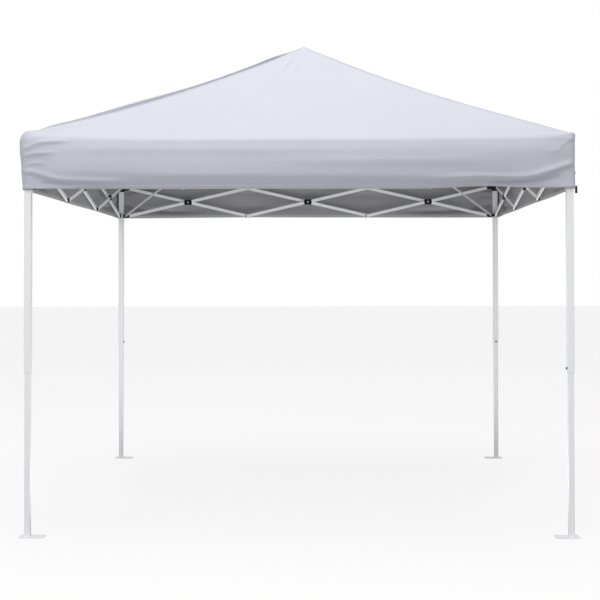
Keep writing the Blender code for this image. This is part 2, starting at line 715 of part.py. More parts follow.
def place_side(side, name, bars, finish):
    """The bars of one side. Chained from corner 0 the bars hang on their neighbours in one order on the
    front and right and in the other on the left and rear, so their origins differ too."""
    forward = side < 2
    turn = quarter_turn(side)
    falling, climbing = bars
    for cell in range(CELLS):
        x = -HALF + PIVOT_OFFSET + (cell + 0.5) * CELL
        middle = Vector((x, -HALF, TRUSS_TOP - TRUSS_HEIGHT / 2))
        start_top = middle + Vector((-CELL / 2, 0, TRUSS_HEIGHT / 2))
        end_top = middle + Vector((CELL / 2, 0, TRUSS_HEIGHT / 2))
        for kind, mesh, slope, pivot in (
            ("falling", falling[cell], 1, start_top if forward else middle),
            ("climbing", climbing, -1, middle if forward else end_top),
        ):
            matrix = turn @ Matrix.Translation(middle) @ Matrix.Rotation(slope * BAR_ANGLE, 4, "Y")
            place(f"{name}_{kind}_bar_{cell + 1}", mesh, matrix, turn @ pivot, finish)


def main():
    enamel = material("white_enamel", (0.80, 0.81, 0.83), 0.38, 0.1)
    steel = material("grey_enamel", (0.66, 0.68, 0.71), 0.40, 0.2)
    black = material("black_nylon", (0.02, 0.02, 0.022), 0.55)
    light = material("light_nylon", (0.62, 0.64, 0.66), 0.50)
    fabric = material("cover_fabric", (0.62, 0.67, 0.74), 0.80)

    leg_pivots = pivots_at(TRUSS_TOP, ("front_right", "rear_right"))
    place_corner_piece("upper_leg", upper_leg(), leg_pivots, enamel)
    for corner, name in enumerate(CORNERS):
        turn = quarter_turn(corner)
        foot = turn @ corner_point(0, 0, 0)
        inboard = 1 if foot.x < 0 else -1
        place(f"lower_leg_{name}", lower_leg(inboard), Matrix.Translation(foot), foot, enamel)
    place_corner_piece("pull_pin", pull_pin(), [(0, LEG_SIDE / 2, LEG_BOTTOM + PIN_HEIGHT)] * 4, black)
    place_corner_piece("top_bracket", top_bracket(), leg_pivots, black)
    place_corner_piece("slider", slider(), pivots_at(TRUSS_BOTTOM, ("rear_right",)), light)

    falling = [falling_bar((-1,)), *[falling_bar(())] * (CELLS - 2), falling_bar((1,))]
    climbing = climbing_bar()
    for side, name in enumerate(SIDES):
        place_side(side, name, (falling, climbing), steel)

    knee_reach = RAFTER_OFFSET + OUTER_REACH
    place_diagonal_piece("outer_rafter", outer_rafter(), RAFTER_OFFSET, RAFTER_PIVOT, OUTER_ANGLE, steel)
    place_diagonal_piece("inner_rafter", inner_rafter(), knee_reach, KNEE_HEIGHT, INNER_ANGLE, steel)
    place_diagonal_piece("strut", strut(), RAFTER_OFFSET, TRUSS_BOTTOM, STRUT_ANGLE, steel)
    at_hub = Matrix.Translation((0, 0, HUB_PIVOT))
    place("hub", hub(), at_hub, at_hub.translation, black)
    place("mast", mast(), Matrix(), at_hub.translation, steel)

    place("canopy", cover(), Matrix(), Vector((0, 0, HEM)), fabric)
    place("strap_front_right", strap(), Matrix(), Vector((COVER_HALF, -HALF, HEM)), black)


main()
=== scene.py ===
"""Pop up canopy: the finish of its enamelled frame and its cover, made as one sheet of coated cloth.

Metres, +Z up, front towards -Y. The frame comes packed from the CAD and stays as it is; this script gives each
tube and moulding its finish and adds the cover with its seams and hem, which folds with the legs.
"""

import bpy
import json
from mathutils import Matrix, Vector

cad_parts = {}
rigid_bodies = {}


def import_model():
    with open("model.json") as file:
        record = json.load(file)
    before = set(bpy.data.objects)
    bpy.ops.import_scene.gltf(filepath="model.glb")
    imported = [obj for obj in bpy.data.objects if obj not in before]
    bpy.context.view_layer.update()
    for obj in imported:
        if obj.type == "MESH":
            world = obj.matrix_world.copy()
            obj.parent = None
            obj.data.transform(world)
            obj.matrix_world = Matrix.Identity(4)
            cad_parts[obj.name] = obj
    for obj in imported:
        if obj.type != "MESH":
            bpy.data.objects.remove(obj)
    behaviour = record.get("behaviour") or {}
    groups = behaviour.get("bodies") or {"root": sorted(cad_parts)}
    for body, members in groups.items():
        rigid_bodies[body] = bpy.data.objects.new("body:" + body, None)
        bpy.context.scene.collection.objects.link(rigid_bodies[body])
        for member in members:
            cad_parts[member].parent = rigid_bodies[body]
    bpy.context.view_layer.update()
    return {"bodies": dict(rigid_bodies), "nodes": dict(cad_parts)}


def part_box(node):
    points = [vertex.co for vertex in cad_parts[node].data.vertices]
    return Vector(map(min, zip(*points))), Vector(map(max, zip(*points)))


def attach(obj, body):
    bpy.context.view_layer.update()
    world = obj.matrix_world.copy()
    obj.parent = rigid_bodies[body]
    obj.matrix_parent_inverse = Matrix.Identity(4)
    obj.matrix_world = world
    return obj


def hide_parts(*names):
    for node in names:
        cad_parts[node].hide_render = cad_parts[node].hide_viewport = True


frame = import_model()

import json
import math

import bpy
import numpy as np
from mathutils import Matrix, Vector

CORNERS = ("front_left", "front_right", "rear_right", "rear_left")
SIDES = ("front", "right", "rear", "left")

# ---- sizes that the cover shares with the frame ----
COVER_LOW, COVER_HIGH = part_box("canopy")
COVER_HALF = COVER_HIGH.x
HEM, PEAK = COVER_LOW.z, COVER_HIGH.z
LEG_LOW, LEG_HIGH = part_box("upper_leg_front_left")
LEG_HALF = -(LEG_LOW.x + LEG_HIGH.x) / 2     # leg centre from the shelter's middle
EAVE_CORNER = 2.195      # height of the eave over a leg
EAVE_SAG = 0.030         # lower by this in the middle of a side
EAVE_RADIUS = 0.030      # where the roof turns down into the valance
RIDGE_SAG = 0.045
PANEL_SAG = 0.020
TIGHT_RADIUS = 0.0114    # of the eave at the front right corner, which is pulled down
CORNER_PULL = 0.011      # by this much
CORNER_PULL_REACH = 0.30
CORNER_RADIUS = 0.009    # of the valance at a leg
CLOTH_THICKNESS = 0.0007
HEM_BAND = 0.018         # turned up and stitched
HEM_PROUD = 0.0011       # how far its double cloth stands off
HEM_EDGE = 0.0012        # height over which the cloth steps out to that
BELLY = 0.024            # how far the middle of the front valance swells out
BELLY_HEIGHT = 0.100     # over the hem, where it stands out most
HEM_TUCK = 0.0062        # and how far in the hem is drawn
HEM_DROP = 0.0032        # slack that lets the hem hang over the truss joints


# ---- arrays to objects ----
def piece(name, points, faces, materials, body):
    """A smooth-shaded mesh object from an array of points and a list of faces, riding on a body."""
    mesh = bpy.data.meshes.new(name)
    mesh.from_pydata(points.tolist(), [], faces)
    mesh.update()
    for finish in materials:
        mesh.materials.append(finish)
    mesh.shade_smooth()
    made = bpy.data.objects.new(name, mesh)
    bpy.context.scene.collection.objects.link(made)
    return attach(made, body)


def ring_faces(columns, rows, start=0):
    """Quads between rows of a grid whose columns close on themselves. Point number = start + row * columns + column."""
    row, column = np.meshgrid(np.arange(rows - 1), np.arange(columns), indexing="ij")
    after = (column + 1) % columns
    quads = np.stack([row * columns + column, row * columns + after,
                      (row + 1) * columns + after, (row + 1) * columns + column], -1)
    return quads.reshape(-1, 4) + start


def smooth_step(x, low, high):
    """0 below low, 1 above high, and an S between them."""
    t = np.clip((x - low) / (high - low), 0.0, 1.0)
    return t * t * (3 - 2 * t)


# ---- finishes ----
class Finish:
    """A Principled material with helpers that add one node each."""

    def __init__(self, name, colour, roughness, **sockets):
        self.material = bpy.data.materials.new(name)
        self.material.use_nodes = True
        self.tree = self.material.node_tree
        self.shader = self.tree.nodes["Principled BSDF"]
        self.shader.inputs["Base Color"].default_value = (*colour, 1)
        self.shader.inputs["Roughness"].default_value = roughness
        for socket, value in sockets.items():
            self.shader.inputs[socket.replace("_", " ")].default_value = value

    def node(self, kind, inputs=(), **settings):
        made = self.tree.nodes.new("ShaderNode" + kind)
        for key, value in settings.items():
            setattr(made, key, value)
        for key, value in dict(inputs).items():
            if isinstance(value, bpy.types.NodeSocket):
                self.tree.links.new(value, made.inputs[key])
            else:
                made.inputs[key].default_value = value
        return made

    def to(self, socket, output):
        self.tree.links.new(output, self.shader.inputs[socket])

    def place(self, scale=(1, 1, 1), uv=None):
        """Object coordinates, or the named UV map, scaled."""
        if uv:
            source = self.node("UVMap", uv_map=uv).outputs["UV"]
        else:
            source = self.node("TexCoord").outputs["Object"]
        return self.node("Mapping", {"Vector": source, "Scale": scale}).outputs[0]

    def noise(self, vector, scale, detail=3.0, roughness=0.5):
        return self.node("TexNoise", {"Vector": vector, "Scale": scale, "Detail": detail,
                                      "Roughness": roughness}).outputs["Fac"]

    def mix(self, factor, first, second):
        """Colour between first and second."""
        made = self.node("Mix", data_type="RGBA")
        for socket, value in ((0, factor), (6, first), (7, second)):
            if isinstance(value, bpy.types.NodeSocket):
                self.tree.links.new(value, made.inputs[socket])
            elif socket:
                made.inputs[socket].default_value = (*value, 1)
            else:
                made.inputs[socket].default_value = value
        return made.outputs[2]

    def range(self, value, low, high, new_low, new_high):
        return self.node("MapRange", {"Value": value, "From Min": low, "From Max": high,
                                      "To Min": new_low, "To Max": new_high}).outputs[0]

    def maths(self, operation, first, second=0.0):
        return self.node("Math", {0: first, 1: second}, operation=operation).outputs[0]

    def bump(self, height, distance, strength=1.0, under=None):
        inputs = {"Height": height, "Distance": distance, "Strength": strength}
        if under is not None:
            inputs["Normal"] = under
        return self.node("Bump", inputs).outputs[0]


def enamel(name, colour, worn):
    """Baked enamel on steel tube: orange peel, cloudy gloss and faint scuffs along the tube."""
    finish = Finish(name, colour, 0.36, Specular_IOR_Level=0.35)
    space = finish.place()
    cloud = finish.noise(space, 14.0, 4.0)
    peel = finish.noise(space, 900.0, 2.0)
    scuff = finish.noise(finish.place(scale=(260, 260, 9)), 1.0, 3.0, 0.6)
    marks = finish.range(scuff, 0.62, 0.74, 0.0, 1.0)
    finish.to("Base Color", finish.mix(finish.maths("MULTIPLY", marks, 0.35), colour, worn))
    rough = finish.maths("ADD", cloud, finish.maths("MULTIPLY", marks, 0.3))
    finish.to("Roughness", finish.range(rough, 0.3, 0.9, 0.30, 0.48))
    finish.to("Normal", finish.bump(peel, 0.00008, 0.5))
    return finish.material


def moulded(name, colour, roughness):
    """Injection moulded nylon: a fine spark-eroded grain, and paler where it is rubbed."""
    finish = Finish(name, colour, roughness, Specular_IOR_Level=0.22)
    space = finish.place()
    rubbed = finish.range(finish.noise(space, 60.0, 4.0), 0.35, 0.75, 0.0, 1.0)
    pale = tuple(min(1.0, c * 1.25 + 0.008) for c in colour)
    finish.to("Base Color", finish.mix(rubbed, colour, pale))
    finish.to("Roughness", finish.range(rubbed, 0.0, 1.0, roughness + 0.06, roughness - 0.06))
    finish.to("Normal", finish.bump(finish.noise(space, 2400.0, 2.0), 0.00012, 0.6))
    return finish.material


def webbing(name, colour):
    """Woven tape on its own map in metres: ribs across it, cords along it, a painted highlight on the crests where both
    rise, and fuzz that catches the light.
    """
    finish = Finish(name, colour, 0.75, Sheen_Weight=0.25, Sheen_Roughness=0.4)
    flat = finish.place(uv="cloth")
    ribs = finish.node("TexWave", {"Vector": flat, "Scale": 260.0, "Distortion": 0.4, "Detail": 1.0},
                       bands_direction="Y").outputs["Fac"]
    cords = finish.node("TexWave", {"Vector": flat, "Scale": 150.0, "Distortion": 0.1, "Detail": 0.0},
                        bands_direction="X").outputs["Fac"]
    weave_and_crest_highlight = finish.maths("MULTIPLY", ribs, cords)
    # painted highlight: the colour is 2.2 times as light where ribs and cords both rise
    finish.to("Base Color", finish.mix(weave_and_crest_highlight, colour, tuple(2.2 * c for c in colour)))
    finish.to("Normal", finish.bump(weave_and_crest_highlight, 0.0004, 0.8))
    return finish.material


def cloth(name, colour, shade, roughness, sheen, seam=0.93, hem_shade_and_soil=0.0):
    """Coated plain weave, drawn on the cloth's own map in metres: crossing threads, faint clouds and slack creases,
    and two rows of stitches beside each seam and along the hem, where the cloth lies double. Painted shade darkens
    it towards the hem, less beside the corner seams, broken up by clouds so that it also reads as handling dirt.
    seam is the colour of the double cloth as a share of the plain, and hem_shade_and_soil is how far the colour
    goes towards that dark colour of shade and dirt."""
    finish = Finish(name, colour, roughness, Sheen_Weight=sheen, Sheen_Roughness=0.5, Specular_IOR_Level=0.25)
    shade_and_dirt = tuple(0.3 * c for c in colour)
    flat = finish.place(uv="cloth")
    near = finish.node("SeparateXYZ", {"Vector": finish.place(uv="seams")}).outputs
    run = finish.node("SeparateXYZ", {"Vector": flat}).outputs
    cloud = finish.noise(flat, 2.2, 3.0)
    fibre = finish.noise(finish.place(uv="cloth", scale=(40, 9, 1)), 6.0, 3.0)
    tone = finish.range(finish.maths("ADD", cloud, finish.maths("MULTIPLY", fibre, 0.35)), 0.45, 0.95, 0.0, 1.0)
    # painted shade along the foot of the valance: darkest 12 mm over the hem, gone 16 cm up and weaker near the corner
    # seams, with clouds in it like dirt
    hem_shade_and_grime = finish.maths("MINIMUM", finish.range(near["Y"], 0.0, 0.16, hem_shade_and_soil, 0.0),
                         finish.range(near["Y"], 0.0, 0.012, 0.1 * hem_shade_and_soil, hem_shade_and_soil))
    hem_shade_and_grime = finish.maths("MULTIPLY", hem_shade_and_grime, finish.range(cloud, 0.2, 0.8, 0.8, 1.2))
    hem_shade_and_grime = finish.maths("MULTIPLY", hem_shade_and_grime, finish.range(near["X"], 0.02, 0.40, 0.25, 1.0))
    plain = finish.mix(hem_shade_and_grime, finish.mix(tone, colour, shade), shade_and_dirt)

    def band(value, low, high):
        """1 where value lies between low and high, with an edge of a fifth of a millimetre."""
        rises = finish.range(value, low, low + 0.0002, 0.0, 1.0)
        falls = finish.range(value, high - 0.0002, high, 1.0, 0.0)
        return finish.maths("MULTIPLY", rises, falls)

    def row(value, place, gone):
        """A row of stitches 4 mm long with 1 mm between them, at the given distance."""
        dash = finish.maths("LESS_THAN", finish.maths("FRACT", finish.maths("MULTIPLY", gone, 200.0)), 0.8)
        return finish.maths("MULTIPLY", band(value, place, place + 0.0009), dash)

    hem = [row(near["Y"], height, run["X"]) for height in (0.003, 0.0145)]
    ridge = [row(near["X"], distance, run["Y"]) for distance in (0.0045, 0.0125)]
    stitches = finish.maths("MAXIMUM", finish.maths("MAXIMUM", *hem), finish.maths("MAXIMUM", *ridge))
    double = finish.maths("MAXIMUM", finish.range(near["X"], 0.0150, 0.0158, 1.0, 0.0),
                          finish.range(near["Y"], 0.0176, 0.0184, 1.0, 0.0))
    doubled = finish.mix(double, plain, finish.mix(hem_shade_and_grime, tuple(seam * c for c in colour), shade_and_dirt))
    thread = tuple(min(1.0, 1.12 * c) for c in colour)
    finish.to("Base Color", finish.mix(stitches, doubled, thread))
    finish.to("Roughness", finish.range(cloud, 0.3, 0.7, roughness - 0.05, roughness + 0.05))
    threads = [
        finish.node("TexWave", {"Vector": flat, "Scale": 220.0, "Distortion": 0.15, "Detail": 0.0},
                    bands_direction=direction).outputs["Fac"]
        for direction in ("X", "Y")
    ]
    weave = finish.maths("MAXIMUM", *threads)
    soft = finish.noise(flat, 5.0, 2.0)
    under = finish.bump(soft, 0.006, 0.35)
    sewn = finish.maths("ADD", double, finish.maths("SUBTRACT", finish.maths("MULTIPLY", stitches, 0.6),
                        finish.maths("MULTIPLY", finish.maths("MAXIMUM", band(near["Y"], 0.0026, 0.0042),
                                                              band(near["X"], 0.0040, 0.0058)), 0.7)))
    under = finish.bump(sewn, 0.0006, 0.8, under)
    finish.to("Normal", finish.bump(weave, 0.00012, 0.35, under))
    return finish.material


ENAMEL = enamel("white_enamel", (0.89, 0.89, 0.905), (0.68, 0.68, 0.70))
STEEL = enamel("grey_enamel", (0.80, 0.80, 0.81), (0.58, 0.58, 0.59))
BLACK = moulded("black_nylon", (0.012, 0.012, 0.013), 0.48)
# the top cloth darkens towards the hem with painted shade that also reads as dirt
CLOTH = cloth("coated_cloth", (0.545, 0.555, 0.62), (0.525, 0.54, 0.61), 0.62, 0.15, hem_shade_and_soil=0.30)
WEBBING = webbing("black_webbing", (0.014, 0.014, 0.016))
# The underside is the same cloth in a darker grey: partly its coating, partly painted shade for the dim inside of the
# roof.
LINING = cloth("cloth_underside", (0.33, 0.33, 0.335), (0.30, 0.30, 0.31), 0.55, 0.10, seam=1.22)


# ---- the cover ----
def roof_height(x, y):
    """A pyramid with hollow ridges and panels and a soft edge: the straight line from peak to eave, less a sag
    that is greatest half way down and deeper in the middle of a panel than on a ridge."""
    larger = np.maximum(abs(x), abs(y))
    smaller = np.minimum(abs(x), abs(y))
    d = larger / COVER_HALF
    s = smaller / np.maximum(larger, 1e-9)
    eave = EAVE_CORNER - EAVE_SAG * (1 - s ** 6)
    sag = (RIDGE_SAG + PANEL_SAG * (1 - s * s)) * 4 * d * (1 - d)
    pull = CORNER_PULL * bell(np.hypot(x - COVER_HALF, y + COVER_HALF), CORNER_PULL_REACH)
    return PEAK + (eave - PEAK) * d - sag - pull


SIDE_STEPS = 108         # columns of cloth on the straight part of a side
CORNER_STEPS = 6         # and round a corner
ROOF_ROWS = 60
EAVE_ROWS = 6
VALANCE_ROWS = 36


def outline():
    """The cover seen from above: a square with rounded corners, walked anticlockwise from the front left corner's
    middle. Gives x and y, the side of each column, and how far it is along that side from its start, in metres."""
    reach = COVER_HALF - CORNER_RADIUS
    even = np.linspace(-1, 1, SIDE_STEPS + 1)
    straight = reach * (0.62 * even + 0.38 * np.sin(even * math.pi / 2))      # closest at the corners
    turn = np.linspace(0, math.pi / 4, CORNER_STEPS // 2 + 1)[:-1]
    first = np.stack([-reach - CORNER_RADIUS * np.sin(math.pi / 4 - turn),
                      -reach - CORNER_RADIUS * np.cos(math.pi / 4 - turn)])
    middle = np.stack([straight, np.full_like(straight, -COVER_HALF)])
    last = np.stack([-first[0][:0:-1], first[1][:0:-1]])
    x, y = np.concatenate([first, middle, last], 1)
    around = []
    for side in range(4):
        c, s = round(math.cos(side * math.pi / 2)), round(math.sin(side * math.pi / 2))
        around.append(np.stack([c * x - s * y, s * x + c * y, np.full_like(x, side), x + COVER_HALF]))
    return np.concatenate(around, 1)


def cover_grid():
    """The cover as a grid of columns round the outline and rows from the peak down to the hem. A roof row is the
    outline drawn in towards the peak, at the roof's height; the eave is an arc that leaves the roof along its own
    slope and ends upright, tightest at the front right corner; and the valance drops from there."""
    x, y, side, along = outline()
    slope = np.arctan2(roof_height(0.999 * x, 0.999 * y) - roof_height(x, y), 0.001 * COVER_HALF)
    taut = 1 - smooth_step(np.hypot(x - COVER_HALF, y + COVER_HALF), 0.02, 0.16)
    radius = EAVE_RADIUS + (TIGHT_RADIUS - EAVE_RADIUS) * taut
    last = 1 - radius / COVER_HALF * (1 - np.sin(slope))
    even = np.linspace(0, 1, ROOF_ROWS + 1)[1:, None]
    share = even - 0.45 * np.sin(2 * math.pi * even) / (2 * math.pi)      # closest at the peak and at the eave
    scale = share * last
    rows = [np.stack([scale * x, scale * y, roof_height(scale * x, scale * y)], -1)]
    centre = rows[0][-1, :, 2] - radius * np.cos(slope)
    angle = slope + (math.pi / 2 - slope) * np.linspace(0, 1, EAVE_ROWS + 1)[1:, None]
    scale = 1 - radius / COVER_HALF * (1 - np.sin(angle))
    rows.append(np.stack([scale * x, scale * y, centre + radius * np.cos(angle)], -1))
    drop = np.linspace(0, 1, VALANCE_ROWS + 1)[1:, None]
    band = HEM + HEM_BAND
    height = centre + (band - centre) * drop
    hem_rows = np.array([[band - HEM_EDGE], [band - HEM_BAND / 2], [HEM]])
    height = np.concatenate([height, np.broadcast_to(hem_rows, (3, len(x)))])
    full = np.ones_like(height)
    rows.append(np.stack([full * x, full * y, height], -1))
    return np.concatenate(rows), side, along


def outward(grid):
    """Unit normals of a grid that closes on itself column by column: the cross product of its two tangents."""
    across = np.roll(grid, -1, 1) - np.roll(grid, 1, 1)
    down = np.gradient(grid, axis=0)
    normal = np.cross(down, across)
    return normal / np.maximum(np.linalg.norm(normal, axis=-1, keepdims=True), 1e-12)


def bell(x, width):
    return np.exp(-(x / width) ** 2)


def through(x, points):
    """A smooth curve through the given (x, value) points, level at each of them: an S between neighbours."""
    at, value = np.array(points).T
    result = np.full(np.shape(x), value[0])
    for low, high, first, last in zip(at, at[1:], value, value[1:]):
        result = result + (last - first) * smooth_step(x, low, high)
    return result


def belly(over):
    """How far the middle of a valance stands off at a height over the hem: it leaves the eave at a slope, swells to
    BELLY at BELLY_HEIGHT along a parabola, and is drawn in again at the hem along the lower part of an S."""
    upper = BELLY * (1 - ((over - BELLY_HEIGHT) / (EAVE_CORNER - EAVE_SAG - HEM - BELLY_HEIGHT)) ** 2)
    left_of_s = 0.684        # at the hem
    lower = BELLY - (BELLY + HEM_TUCK) / left_of_s * (1 - smooth_step(over, -0.6 * BELLY_HEIGHT, BELLY_HEIGHT))
    return np.where(over > BELLY_HEIGHT, np.maximum(upper, 0), lower)


def crease(along, height, path, depth, width, fade):
    """A soft ridge in the valance, or a valley where depth is negative, that follows path, (distance along the side,
    height over the hem) points: a bell of the given depth and half width across it, fading out over the given
    distance past its ends."""
    run, level = np.array(path).T
    line = HEM + np.interp(along, run, level)
    ends = smooth_step(along, run[0] - fade, run[0]) * (1 - smooth_step(along, run[-1], run[-1] + fade))
    return depth * ends * bell(height - line, width)


# How far each corner seam stands off, by height over the hem, because of what the cloth hangs from there.
CORNER_HANG = {
    "front_left": ((0.0, 0.0030), (0.120, 0.0110), (0.215, 0.0190), (0.262, 0.0195), (0.300, 0.004)),
    "front_right": ((0.0, 0.0040), (0.100, 0.0022), (0.240, 0.0032), (0.290, 0.0050), (0.306, 0.0020)),
    "rear_right": ((0.0, 0.0030), (0.150, 0.0060), (0.250, 0.0075), (0.300, 0.001)),
    "rear_left": ((0.0, 0.0025), (0.150, 0.0095), (0.250, 0.0120), (0.300, 0.002)),
}
FOLD_DEPTH = 1.45        # scales the depths below
# Ridges and, with a negative depth, valleys in each valance: points along it, then depth, half width and fade, all
# in metres. They start at the gathers of the corner seams, and long folds run out over the hem from them.
FOLDS = {
    "front": (
        (((0.022, 0.219), (0.066, 0.240), (0.105, 0.252), (0.180, 0.258)), 0.0074, 0.0105, 0.10),
        (((0.022, 0.177), (0.061, 0.190), (0.110, 0.193)), 0.0068, 0.0100, 0.09),
        (((0.022, 0.131), (0.070, 0.139)), 0.0056, 0.0100, 0.07),
        (((0.018, 0.150), (0.042, 0.160)), 0.0030, 0.0070, 0.03),
        (((0.024, 0.094), (0.061, 0.091), (0.105, 0.078), (0.160, 0.058), (0.210, 0.048), (0.420, 0.040)),
         0.0085, 0.014, 0.22),
        (((0.020, 0.060), (0.060, 0.030)), 0.0035, 0.009, 0.05),
        (((2.940, 0.268), (2.975, 0.262)), 0.0040, 0.009, 0.04),
        (((2.902, 0.195), (2.921, 0.222), (2.943, 0.245), (2.977, 0.262)), 0.0050, 0.009, 0.05),
        (((2.440, 0.052), (2.645, 0.050), (2.728, 0.056), (2.783, 0.066), (2.838, 0.086), (2.893, 0.104),
          (2.949, 0.121), (2.985, 0.130)), 0.0140, 0.017, 0.34),
        (((2.560, 0.016), (2.700, 0.026), (2.838, 0.036), (2.900, 0.054)), -0.0105, 0.016, 0.034),
        (((0.115, 0.024), (0.240, 0.018)), -0.0060, 0.013, 0.045),
        (((2.250, 0.205), (2.880, 0.205)), 0.0085, 0.062, 0.50),
        (((1.700, 0.150), (2.250, 0.146)), 0.0042, 0.028, 0.45),
        (((0.500, 0.215), (1.700, 0.205)), 0.0040, 0.030, 0.60),
        (((0.900, 0.070), (2.100, 0.062)), 0.0035, 0.022, 0.50),
    ),
    "right": (
        (((0.025, 0.215), (0.120, 0.236), (0.300, 0.250)), 0.0060, 0.012, 0.15),
        (((0.020, 0.150), (0.090, 0.160)), 0.0050, 0.013, 0.10),
        (((0.020, 0.095), (0.200, 0.060), (0.480, 0.048)), 0.0100, 0.017, 0.30),
        (((2.700, 0.055), (2.880, 0.085), (2.970, 0.110)), 0.0100, 0.016, 0.25),
        (((2.850, 0.170), (2.970, 0.205)), 0.0050, 0.012, 0.12),
        (((1.000, 0.190), (2.200, 0.180)), 0.0045, 0.030, 0.50),
    ),
    "rear": (
        (((0.025, 0.110), (0.220, 0.066), (0.500, 0.052)), 0.0110, 0.018, 0.30),
        (((0.025, 0.205), (0.140, 0.235)), 0.0055, 0.012, 0.15),
        (((0.025, 0.160), (0.080, 0.166)), 0.0045, 0.012, 0.08),
        (((2.600, 0.050), (2.820, 0.072), (2.970, 0.116)), 0.0110, 0.017, 0.30),
        (((2.830, 0.222), (2.970, 0.190)), 0.0055, 0.012, 0.12),
        (((0.900, 0.180), (1.900, 0.196)), 0.0045, 0.030, 0.50),
        (((1.700, 0.085), (2.500, 0.075)), 0.0035, 0.024, 0.40),
    ),
    "left": (
        (((0.025, 0.200), (0.110, 0.228)), 0.0060, 0.012, 0.14),
        (((0.025, 0.120), (0.200, 0.074), (0.420, 0.055)), 0.0100, 0.017, 0.28),
        (((2.560, 0.046), (2.800, 0.066), (2.965, 0.100)), 0.0100, 0.016, 0.28),
        (((2.900, 0.150), (2.970, 0.148)), 0.0050, 0.012, 0.09),
        (((2.880, 0.240), (2.970, 0.214)), 0.0055, 0.011, 0.10),
        (((0.800, 0.170), (2.000, 0.190)), 0.0045, 0.030, 0.50),
    ),
}
# Soft lines that run from the peak down a roof panel: where, from -1 at one ridge to 1 at the other, and how deep.
PEAK_LINES = {
    "front": ((-0.33, -0.0085, 0.045), (-0.06, -0.0035, 0.030), (0.55, -0.0030, 0.05)),
    "right": ((-0.20, -0.0060, 0.045), (0.40, -0.0045, 0.040)),
    "rear": ((0.28, -0.0070, 0.045), (-0.45, -0.0040, 0.045)),
    "left": ((0.15, -0.0060, 0.045), (-0.50, -0.0045, 0.040)),
}
# Drag lines that fan out of a corner over the roof: turn from the ridge in degrees, height, half turn and length.
CORNER_FAN = ((8.0, 0.0090, 2.9, 0.62), (14.5, -0.0070, 2.8, 0.56), (21.5, 0.0075, 3.2, 0.50),
              (29.0, -0.0050, 3.0, 0.34), (35.0, 0.0055, 4.0, 0.30))
FAN_SHARE = {"front_left": 1.0, "front_right": 0.35, "rear_right": 0.7, "rear_left": 0.8}   # of those heights
CROWN_LIFT = {"front_left": 0.0045, "front_right": 0.0, "rear_right": 0.0045, "rear_left": 0.0045}
HEM_FLARE = {"front": 0.0110, "right": 0.0040, "rear": 0.0040, "left": 0.0040}   # beside the corners
FULLNESS = (1.0, 0.5, 0.3, 0.5)      # each side's share of the belly
BELLY_ENDS = 0.24        # the belly dies away over this much of each end of a side
VALANCE_TOP = (0.300, 0.262)         # heights over the hem where its folds begin and where they're full
FRONT_SEAM = (0.003, 0.026)          # distances from a corner seam where the front's folds begin and are full
OTHER_SEAM = (0.012, 0.075)          # and those of the other sides


def drape(grid, side, along):
    """How far the cloth stands off its taut shape, outwards along its normal, in metres: the belly of the valance,
    the folds that gather at its corners, and the lines that fan out of each corner and run down from the peak."""
    length = 2 * COVER_HALF
    x, y, height = np.moveaxis(grid, -1, 0)
    over = height - HEM
    row = np.arange(len(grid))[:, None]
    hanging = row > ROOF_ROWS - 2
    valance = smooth_step(over, *VALANCE_TOP) * hanging
    side = np.broadcast_to(side, height.shape).astype(int)
    along = np.broadcast_to(along, height.shape)
    from_corner = np.minimum(along, length - along)
    ends = smooth_step(from_corner, 0.0, BELLY_ENDS)
    fullness = np.array(FULLNESS)[side]
    off = hanging * ends * fullness * belly(over)
    seam = np.where(side == 0, smooth_step(from_corner, *FRONT_SEAM), smooth_step(from_corner, *OTHER_SEAM))
    # each side's own folds, and slow waves along the hem
    for number, name in enumerate(SIDES):
        here = (side == number) * valance
        folds = FOLD_DEPTH * sum(crease(along, height, *fold) for fold in FOLDS[name])
        off = off + here * seam * folds * smooth_step(over, -0.004, 0.028)
        flare = (1 - smooth_step(from_corner, 0.12, 0.36)) * (1 - smooth_step(over, -0.010, 0.052))
        off = off + here * seam * flare * HEM_FLARE[name]
        wave = 0.0030 * np.sin(2.1 * along + 1.3 * number) + 0.0020 * np.sin(5.3 * along + 2.1 + number)
        off = off + here * ends * (wave + 0.0045) * smooth_step(over, 0.26, 0.0)
    # the corners
    for number, name in enumerate(CORNERS):
        cx = LEG_HALF if name.endswith("right") else -LEG_HALF
        cy = -LEG_HALF if name.startswith("front") else LEG_HALF
        away = np.hypot(x - cx, y - cy)
        off = off + hanging * through(over, CORNER_HANG[name]) * (1 - smooth_step(away, 0.03, 0.26))
        # the bracket's crown lifts the roof
        crown = np.maximum(abs(x - cx), abs(y - cy))
        off = off + CROWN_LIFT[name] * (1 - smooth_step(crown, 0.016, 0.036)) * (1 - valance)
        # drag lines from the crown
        inward = np.arctan2(np.abs(np.abs(y) - LEG_HALF), np.abs(np.abs(x) - LEG_HALF))
        turn = np.degrees(np.abs(inward - math.pi / 4))
        inside = (np.abs(x) < LEG_HALF) & (np.abs(y) < LEG_HALF)
        for angle, rise, width, reach in CORNER_FAN:
            skew = angle * (1 + 0.10 * math.sin(3.0 * number + angle))
            line = bell(turn - skew, width) * smooth_step(away, 0.03, 0.09)
            line = line * (1 - smooth_step(away, 0.4 * reach, reach))
            off = off + FAN_SHARE[name] * rise * line * inside * (1 - valance)
    # lines from the peak
    larger = np.maximum(abs(x), abs(y))
    d = larger / COVER_HALF
    turned = side * math.pi / 2
    across = (x * np.cos(turned) + y * np.sin(turned)) / np.maximum(larger, 1e-6)
    for number, name in enumerate(SIDES):
        for where, lift, width in PEAK_LINES[name]:
            line = bell(across - where, width + 0.02 * (1 - d)) * smooth_step(d, 0.03, 0.16)
            line = line * (1 - smooth_step(d, 0.45, 0.86))
            off = off + (side == number) * lift * line * (1 - valance)
    return off


SEAM_STAND = 0.0105      # of the seam allowance that stands on edge
WELT_HEIGHT = 0.0022     # of the other ridge seams


